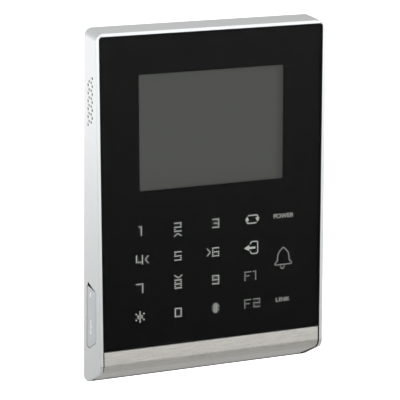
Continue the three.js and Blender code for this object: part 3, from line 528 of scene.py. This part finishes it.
door_recess = prism(door_outline(DOOR_GAP), -HALF_WIDTH - CLEAR, -HALF_WIDTH + DOOR_T + DOOR_BED, from_side)
NAIL_DEPTH = 0.9
PORT_HALF = (3.3, 6.9)              # half the port hole's size along y and z
SCREW_HOLE_R = 1.4
SCREW_SINK_R = 2.15
SCREW_SINK_DEPTH = 1.0
nail_notch = prism(outline([
    (-5.2, -29.5, 0.5), (-14.4, -31.0, 0.4), (-14.4, -31.8, 0), (-5.2, -31.8, 0),
]), -HALF_WIDTH - CLEAR, -HALF_WIDTH + NAIL_DEPTH, from_side)
port_hole = cuboid(-HALF_WIDTH, -CAVITY_HALF + CLEAR, USB_Y - PORT_HALF[0], USB_Y + PORT_HALF[0],
                   USB_Z - PORT_HALF[1], USB_Z + PORT_HALF[1])
screw_hole = prism(circle(0, SCREW_Y, SCREW_HOLE_R), -TOP - CLEAR, -TOP + WALL + CLEAR, from_above)
screw_sink = prism(circle(0, SCREW_Y, SCREW_SINK_R), -TOP - CLEAR, -TOP + SCREW_SINK_DEPTH, from_above)
# The walls these tools cut take the dark material: painted shade in the holes and recesses.
combine(housing, [glass_pocket, display_hole, keypad_hole, strip_pocket, grille, door_recess,
                  nail_notch, port_hole, screw_hole, screw_sink, *pilots], "DIFFERENCE", BARE_PLASTIC_AND_SHADE)


def rim_lip(point, edge):
    """Edges where the front of the rim turns down beside the glass or the strip."""
    on_rim = all(
        abs(v.co.x) <= OPEN_HALF + 0.01
        and abs((v.co.y - FOOT_Y) * math.cos(TILT) - (v.co.z - FOOT_Z) * math.sin(TILT) + RIM_PROUD) < 0.02
        for v in edge.verts
    )
    return on_rim and point.z > FOOT_Z - 6


def outer_left(point, edge):
    """The rims of the grille holes, the door recess and the nail notch on the side face."""
    return all(abs(v.co.x + HALF_WIDTH) < 0.01 for v in edge.verts)


soften(housing, LIP_BEVEL, 3, rim_lip)
soften(housing, HOLE_BEVEL, 2, outer_left, 60)
settle(housing, node="housing")

# ------------------------------------------------------------------ glass, print, legends
GLASS_HALF = OPEN_HALF - GAP
GLASS_TOP = OPEN_TOP - GAP
GLASS_CORNER_R = 1.2
GLASS_FOOT_R = 0.3
PRINT_N = (1.2, 1.38)               # depths behind the glass face
HAIR = 0.01                         # keeps faces of different pieces from coinciding
glass = to_object("cover_glass_plate", prism(outline([
    (-GLASS_HALF, GAP, GLASS_FOOT_R), (GLASS_HALF, GAP, GLASS_FOOT_R),
    (GLASS_HALF, GLASS_TOP, GLASS_CORNER_R),
    (-GLASS_HALF, GLASS_TOP, GLASS_CORNER_R),
]), 0, GLASS_T, on_glass))
soften(glass, GLASS_BEVEL, 3)
settle(glass, node="cover_glass", paint=GLASS)

print_layer = to_object("black_print_layer", prism(
    rectangle(-GLASS_HALF + HAIR, GAP + HAIR, GLASS_HALF - HAIR, GLASS_TOP - HAIR, 0.5), *PRINT_N, on_glass))
combine(print_layer, [
    prism(rectangle(-WINDOW_HALF, WINDOW_LOW, WINDOW_HALF, WINDOW_HIGH, 0.25), 0, 3, on_glass),
], "DIFFERENCE")
settle(print_layer, node="glass_print", paint=INK)

# The foam tape runs behind the glass edge and stands up in the gap around it; the part standing in the gap is
# a dark sheet, painted shade for the gap.
SEAL_FRONT = 0.35
SEAL_INSIDE = (-44.5, 1.9, 44.5, 123.5)
seal = to_object("glass_seal_and_gap_shade", prism(
    rectangle(-OPEN_HALF + 0.02, 0.02, OPEN_HALF - 0.02, OPEN_TOP - 0.02, 1.3),
    SEAL_FRONT, LEDGE_FRONT - 0.02, on_glass))
combine(seal, [
    prism(rectangle(-GLASS_HALF - HAIR, GAP - HAIR, GLASS_HALF + HAIR, GLASS_TOP + HAIR, 1.1),
          -1, 1.4, on_glass),
    prism(rectangle(*SEAL_INSIDE, 1), -1, 3, on_glass),
], "DIFFERENCE")
settle(seal, node="glass_tape", paint=TAPE)

DOT_PITCH = 0.83
DOT_R = 0.2
LEGEND_FRONT = GLASS_T + 0.02
LEGEND_BACK = GLASS_T + 0.06
LEGEND_SHIFT_X = 0.45
LEGEND_SHIFT_V = -0.35


def on_print(x, v, n):
    return on_glass(x + LEGEND_SHIFT_X, v + LEGEND_SHIFT_V, n)


GLYPHS = {
    "1": "##/.#/.#/.#/.#",
    "2": "####/...#/####/#.../####",
    "3": "####/...#/.###/...#/####",
    "4": "#..#/#..#/#..#/####/...#",
    "5": "####/#.../####/...#/####",
    "6": "####/#.../####/#..#/####",
    "7": "####/...#/...#/...#/...#",
    "8": "####/#..#/####/#..#/####",
    "9": "####/#..#/####/...#/####",
    "0": "####/#..#/#..#/#..#/####",
    "star": "..#../#.#.#/.###./.###./#.#.#/..#..",
    "hash": ".##./####/.##./####/.##.",
    "F": "####/#.../###./#.../#...",
}
COLUMN_X = (-31.5, -15.2, 1.05)
KEY_V = (48.3, 36.45, 24.85, 13.0)
ONE_SHIFT = 0.45


def dots(bm, glyph, x, v):
    """A dot-matrix character centred at x, v."""
    rows = GLYPHS[glyph].split("/")
    wide = len(rows[0])
    for r, row in enumerate(rows):
        for c, mark in enumerate(row):
            if mark == "#":
                at_x = x + (c - (wide - 1) / 2) * DOT_PITCH
                at_v = v - (r - (len(rows) - 1) / 2) * DOT_PITCH
                prism(circle(at_x, at_v, DOT_R, 12), LEGEND_FRONT, LEGEND_BACK, on_print, bm)


keys = bmesh.new()
for r, names in enumerate((("1", "2", "3"), ("4", "5", "6"), ("7", "8", "9"), ("star", "0", "hash"))):
    for c, glyph in enumerate(names):
        dots(keys, glyph, COLUMN_X[c] + (ONE_SHIFT if glyph == "1" else 0), KEY_V[r])
settle(to_object("key_legends", keys), paint=DOT_LEGEND)
function_keys = bmesh.new()
for v, second, x in ((24.9, "1", 18.15), (13.15, "2", 19.1)):
    dots(function_keys, "F", 15.1, v)
    dots(function_keys, second, x, v)
settle(to_object("function_legends", function_keys), paint=DIM_LEGEND)


def stroke(bm, points, width, closed=False):
    """A line of even width along x, v points, as one flat closed ribbon per run."""
    count = len(points)
    pts = [Vector(p) for p in points]
    left, right = [], []
    for i, p in enumerate(pts):
        before = pts[i - 1] if closed or i else None
        after = pts[(i + 1) % count] if closed or i < count - 1 else None
        d1 = (p - before).normalized() if before is not None else (after - p).normalized()
        d2 = (after - p).normalized() if after is not None else d1
        n1 = Vector((-d1.y, d1.x))
        n2 = Vector((-d2.y, d2.x))
        mid = (n1 + n2).normalized()
        reach = width / 2 / max(mid.dot(n1), 0.4)
        left.append(p + mid * reach)
        right.append(p - mid * reach)
    rings = []
    for l, r in zip(left, right):
        rings.append([bm.verts.new(on_print(q.x, q.y, n))
                      for q, n in ((l, LEGEND_FRONT), (r, LEGEND_FRONT), (r, LEGEND_BACK), (l, LEGEND_BACK))])
    faces = []
    for i in range(count if closed else count - 1):
        a, b = rings[i], rings[(i + 1) % count]
        for k in range(4):
            faces.append(bm.faces.new((a[k], a[(k + 1) % 4], b[(k + 1) % 4], b[k])))
    if not closed:
        faces.append(bm.faces.new(rings[0]))
        faces.append(bm.faces.new(rings[-1]))
    bmesh.ops.recalc_face_normals(bm, faces=faces)


def filled(bm, points):
    prism([Vector(p) for p in points], LEGEND_FRONT, LEGEND_BACK, on_print, bm)


THIN = 0.3
BOLD = 0.46
icons = bmesh.new()
# Direction marks beside 2, 4, 6 and 8.
stroke(icons, [(-16.9, 44.45), (-15.2, 45.8), (-13.55, 44.5)], THIN)
stroke(icons, [(-27.7, 38.0), (-29.1, 36.5), (-27.7, 34.85)], THIN)
stroke(icons, [(-2.75, 38.15), (-1.27, 36.45), (-2.75, 35.0)], THIN)
stroke(icons, [(-16.8, 28.7), (-15.1, 27.3), (-13.3, 28.6)], THIN)
# Two arrows chasing round a loop.
stroke(icons, [(15.1, 50.03), (18.75, 50.03), (19.15, 49.9), (19.3, 49.5), (19.3, 48.85)], BOLD)
filled(icons, [(18.33, 48.95), (20.2, 48.95), (19.3, 47.15)])
stroke(icons, [(18.75, 46.8), (15.25, 46.8), (14.87, 46.93), (14.72, 47.3), (14.72, 47.95)], BOLD)
filled(icons, [(13.75, 47.88), (15.67, 47.88), (14.72, 49.68)])
# Arrow leaving a doorway.
filled(icons, [(13.38, 36.52), (15.68, 37.8), (15.68, 36.95), (18.35, 36.95), (18.35, 36.05), (15.68, 36.05),
               (15.68, 35.28)])
stroke(icons, [(16.22, 38.0), (16.3, 38.6), (16.75, 39.1), (18.9, 39.07), (19.35, 38.7), (19.4, 34.55),
               (19.0, 34.08), (16.9, 34.02), (16.35, 34.45), (16.23, 35.24)], 0.42)
settle(to_object("icon_legends", icons), paint=LEGEND)
# Bell outline with its clapper.
BELL_X = 30.78
BELL_V = 31.5
bell_half = [(0, 3.72), (0.6, 3.45), (1.5, 2.35), (2.25, 1.4), (2.5, 0.6), (2.52, -1.4), (2.75, -1.85),
             (3.6, -2.6), (3.72, -3.0), (3.45, -3.4)]
bell = [(BELL_X + a, BELL_V + b) for a, b in bell_half]
bell += [(BELL_X - a, BELL_V + b) for a, b in reversed(bell_half[1:])]
bell_mark = bmesh.new()
stroke(bell_mark, bell, 0.36, closed=True)
clapper = [
    (BELL_X - 0.35 + 0.8 * math.cos(math.radians(a)), BELL_V - 4.3 + 0.8 * math.sin(math.radians(a)))
    for a in range(150, 391, 24)
]
stroke(bell_mark, clapper, 0.34)
settle(to_object("bell_legend", bell_mark), paint=LINE_LEGEND)


def word(name, text, x, v, height, wide):
    """A word in plain capitals, centred at x, v behind the glass."""
    curve = bpy.data.curves.new(name, "FONT")
    curve.body = text
    curve.align_x = "CENTER"
    curve.align_y = "CENTER"
    curve.extrude = 0.02
    temp = bpy.data.objects.new("temp", curve)
    bpy.context.scene.collection.objects.link(temp)
    view = bpy.context.evaluated_depsgraph_get()
    mesh = bpy.data.meshes.new_from_object(temp.evaluated_get(view))
    bpy.data.objects.remove(temp)
    xs = [p.co.x for p in mesh.vertices]
    ys = [p.co.y for p in mesh.vertices]
    for p in mesh.vertices:
        a = (p.co.x - (min(xs) + max(xs)) / 2) / (max(xs) - min(xs)) * wide
        b = (p.co.y - (min(ys) + max(ys)) / 2) / (max(ys) - min(ys)) * height
        n = LEGEND_BACK if p.co.z < 0 else LEGEND_FRONT
        p.co = on_print(x + a, v + b, n)
    obj = bpy.data.objects.new(name, mesh)
    bpy.context.scene.collection.objects.link(obj)
    bm = bmesh.new()
    bm.from_mesh(mesh)
    bmesh.ops.remove_doubles(bm, verts=bm.verts, dist=1e-4)
    bmesh.ops.recalc_face_normals(bm, faces=bm.faces)
    bm.to_mesh(mesh)
    bm.free()
    return settle(obj, paint=LEGEND)


word("power_word", "POWER", 30.75, 48.6, 1.85, 8.7)
word("link_word", "LINK", 30.7, 13.35, 1.75, 6.1)

# ------------------------------------------------------------------ display
# The active area glows with painted light.
ACTIVE_HALF = (30, 22.5)
ACTIVE_N = (3.9, 3.96)              # depths behind the glass face
active = to_object("display_active_area", prism(
    rectangle(-ACTIVE_HALF[0], WINDOW_MID - ACTIVE_HALF[1], ACTIVE_HALF[0], WINDOW_MID + ACTIVE_HALF[1]),
    *ACTIVE_N, on_glass))
settle(active, paint=GLOWING_PANEL_ACTIVE)

# ------------------------------------------------------------------ chin strip
STRIP_END_Y = CHIN_END_Y - 0.28
strip = to_object("chin_strip", prism(
    chin_path(STRIP_SINK, STRIP_SINK, CHIN_R - STRIP_SINK, FOOT_Z - 0.2, STRIP_END_Y, 20)
    + chin_path(STRIP_SINK + STRIP_T, STRIP_SINK + STRIP_T, CHIN_R - STRIP_SINK - STRIP_T,
                FOOT_Z - 0.2, STRIP_END_Y, 20)[::-1],
    -OPEN_HALF + GAP, OPEN_HALF - GAP, from_side))
# The ends draw in towards the rear, which opens a wedge beside each cheek.
TAPER = 1.15
TAPER_START_Y = -17.0
for vert in strip.data.vertices:
    share = max(0, (vert.co.y - TAPER_START_Y) / (STRIP_END_Y - TAPER_START_Y))
    vert.co.x -= math.copysign(TAPER * share, vert.co.x)
soften(strip, STRIP_BEVEL, 3, None, 50)
settle(strip, node="steel_strip", paint=STEEL)
BED_INSET = 0.6
bed = to_object("strip_adhesive", prism(
    chin_path(STRIP_SINK + STRIP_T + 0.03, STRIP_SINK + STRIP_T + 0.03, CHIN_R - STRIP_SINK - STRIP_T,
              FOOT_Z - BED_INSET, CHIN_END_Y - BED_INSET, 12)
    + chin_path(pocket_depth - 0.02, pocket_depth - 0.02, CHIN_R - 1.1,
                FOOT_Z - BED_INSET, CHIN_END_Y - BED_INSET, 12)[::-1],
    -OPEN_HALF + 0.05, OPEN_HALF - 0.05, from_side))
settle(bed, paint=TAPE)

# ------------------------------------------------------------------ USB door
DOOR_FACE = -HALF_WIDTH + 0.05
DOOR_CHAMFER_Y = -14.1
DOOR_CHAMFER = (0.5, -16.2)         # how far in the chamfer has come at this y
PLUG_HALF = (1.8, 5.2)              # half the plug's size along y and z
PLUG_INNER_X = -44.7
door = to_object("usb_port_door",
                 prism(door_outline(0.0), -HALF_WIDTH - CLEAR, -HALF_WIDTH + DOOR_T, from_side))
combine(door, [prism([
    Vector((DOOR_FACE, 0)), Vector((-44, 0)), Vector((-44, -20)),
    Vector((DOOR_FACE + DOOR_CHAMFER[0], DOOR_CHAMFER[1])),
    Vector((DOOR_FACE, DOOR_CHAMFER_Y)),
], -62, -25, from_above)], "INTERSECT")
soften(door, DOOR_BEVEL, 2, lambda p, e: p.x < -HALF_WIDTH + 0.6, 12)
plug = prism(rectangle(USB_Y - PLUG_HALF[0], USB_Z - PLUG_HALF[1], USB_Y + PLUG_HALF[0],
                       USB_Z + PLUG_HALF[1], 0.5),
             -HALF_WIDTH + DOOR_T - 0.3, PLUG_INNER_X, from_side)
combine(door, [plug], "UNION")
# Generic marks: a short bar near the top; a dot, two strokes and a block lower down. All glow a little, a
# painted glow, and the bar near the top is a painted highlight standing for a small raised nub.
marks = bmesh.new()
for outline_points in (
    rectangle(-8.9, -35.1, -7.75, -33.1, 0.5, 4),
    circle(-8.9, -45.2, 0.55, 14),
    rectangle(-9.15, -48.9, -8.6, -45.9, 0.2, 3),
    rectangle(-10.2, -47.35, -9.05, -46.85, 0.2, 3),
    rectangle(-9.4, -50.4, -8.2, -49.25, 0.25, 3),
):
    prism(outline_points, -HALF_WIDTH + 0.002, DOOR_FACE + 0.02, from_side, marks)
settle(to_object("usb_door_marks_and_highlight", marks), body="usb_door", paint=MARK_AND_HIGHLIGHT)
settle(door, body="usb_door", node="usb_door", paint=DOOR)

# ------------------------------------------------------------------ floor, light, camera
# Positions are metres from here on.
FLOOR_Z = -0.30
FLOOR_HALF = 4
FLOOR_Y = (-0.35, 5)
floor_mesh = bmesh.new()
floor_mesh.faces.new([
    floor_mesh.verts.new((x, y, FLOOR_Z))
    for x, y in ((-FLOOR_HALF, FLOOR_Y[0]), (FLOOR_HALF, FLOOR_Y[0]), (FLOOR_HALF, FLOOR_Y[1]),
                 (-FLOOR_HALF, FLOOR_Y[1]))
])
floor = to_object("floor", floor_mesh)
paper, nodes, links, bsdf = shader("pale_floor")
bsdf.inputs["Base Color"].default_value = (0.86, 0.86, 0.86, 1)
bsdf.inputs["Roughness"].default_value = 0.9
bsdf.inputs["Specular IOR Level"].default_value = 0.1
bsdf.inputs["Emission Color"].default_value = (1, 1, 1, 1)
path = nodes.new("ShaderNodeLightPath")
where = nodes.new("ShaderNodeTexCoord")
split = nodes.new("ShaderNodeSeparateXYZ")
links.new(where.outputs["Object"], split.inputs["Vector"])
far = nodes.new("ShaderNodeMapRange")
far.inputs["From Min"].default_value = 0.36
far.inputs["From Max"].default_value = 1.3
far.inputs["To Max"].default_value = 0.68
links.new(split.outputs["Y"], far.inputs["Value"])
glow = nodes.new("ShaderNodeMath")
glow.operation = "MAXIMUM"
links.new(path.outputs["Is Camera Ray"], glow.inputs[0])
links.new(far.outputs["Result"], glow.inputs[1])
links.new(glow.outputs["Value"], bsdf.inputs["Emission Strength"])
floor.data.materials.append(paper)


def area_light(name, at, aim, size, power):
    lamp = bpy.data.lights.new(name, "AREA")
    lamp.energy = power
    lamp.size = size
    holder = bpy.data.objects.new(name, lamp)
    holder.location = at
    holder.rotation_euler = (Vector(aim) - Vector(at)).to_track_quat("-Z", "Y").to_euler()
    bpy.context.scene.collection.objects.link(holder)


area_light("left_box", (-0.6, 0.12, 0.4), (0, 0, 0), 0.35, 0.7)
area_light("front_fill", (-0.3, -1.2, 0.9), (0, 0, 0), 0.7, 1.4)

# A dim room with a broad glow behind, a card to the left, one to the right, one overhead and one in
# front on the right that is brighter above. The camera itself sees plain white.
world = bpy.data.worlds.new("studio")
bpy.context.scene.world = world
world.use_nodes = True
nodes = world.node_tree.nodes
links = world.node_tree.links
sky = nodes["Background"]
sky.inputs["Color"].default_value = (1, 1, 1, 1)
where = nodes.new("ShaderNodeTexCoord")


def toward(axis, low, high, gain):
    """Rises from 0 to `gain` as the direction turns towards `axis`."""
    dot = nodes.new("ShaderNodeVectorMath")
    dot.operation = "DOT_PRODUCT"
    dot.inputs[1].default_value = Vector(axis).normalized()
    links.new(where.outputs["Generated"], dot.inputs[0])
    ramp = nodes.new("ShaderNodeMapRange")
    ramp.interpolation_type = "SMOOTHSTEP"
    ramp.inputs["From Min"].default_value = low
    ramp.inputs["From Max"].default_value = high
    ramp.inputs["To Max"].default_value = gain
    links.new(dot.outputs["Value"], ramp.inputs["Value"])
    return ramp.outputs["Result"]


def plus(a, b):
    total = nodes.new("ShaderNodeMath")
    total.operation = "ADD"
    links.new(a, total.inputs[0])
    if isinstance(b, float):
        total.inputs[1].default_value = b
    else:
        links.new(b, total.inputs[1])
    return total.outputs["Value"]


def times(a, b):
    product = nodes.new("ShaderNodeMath")
    product.operation = "MULTIPLY"
    links.new(a, product.inputs[0])
    links.new(b, product.inputs[1])
    return product.outputs["Value"]


room = plus(toward((-0.3, 0.9, -0.2), -0.1, 0.95, 0.56), 0.12)
room = plus(room, toward((-0.8, 0.5, -0.2), 0.65, 0.95, 0.45))
room = plus(room, toward((0.9, 0.35, -0.2), 0.7, 0.95, 0.55))
room = plus(room, toward((0.36, -0.27, 0.87), 0.82, 0.96, 1.3))
front_card = times(toward((0.36, -0.92, -0.05), 0.75, 0.98, 1.0),
                   plus(toward((0, 0, 1), -0.3, -0.06, 0.9), 0.45))
room = plus(room, front_card)
path = nodes.new("ShaderNodeLightPath")
level = nodes.new("ShaderNodeMix")
level.inputs[FLOAT_B].default_value = 1.0
links.new(path.outputs["Is Camera Ray"], level.inputs[FACTOR])
links.new(room, level.inputs[FLOAT_A])
links.new(level.outputs[FLOAT_RESULT], sky.inputs["Strength"])

CAMERA_AT = (-0.288869, -0.708867, 0.225041)
camera_data = bpy.data.cameras.new("camera")
camera_data.sensor_width = 36
camera_data.lens = 177.09
camera_data.clip_start = 0.01
camera_data.clip_end = 50
camera = bpy.data.objects.new("camera", camera_data)
right = Vector((0.927235, -0.374088, 0.017118))
up = Vector((0.091055, 0.26956, 0.958669))
away = Vector((0.363241, 0.887353, -0.284008))
camera.matrix_world = Matrix((
    (right.x, up.x, -away.x, CAMERA_AT[0]),
    (right.y, up.y, -away.y, CAMERA_AT[1]),
    (right.z, up.z, -away.z, CAMERA_AT[2]),
    (0, 0, 0, 1),
))
bpy.context.scene.collection.objects.link(camera)
bpy.context.scene.camera = camera
bpy.context.scene.view_settings.view_transform = "Standard"
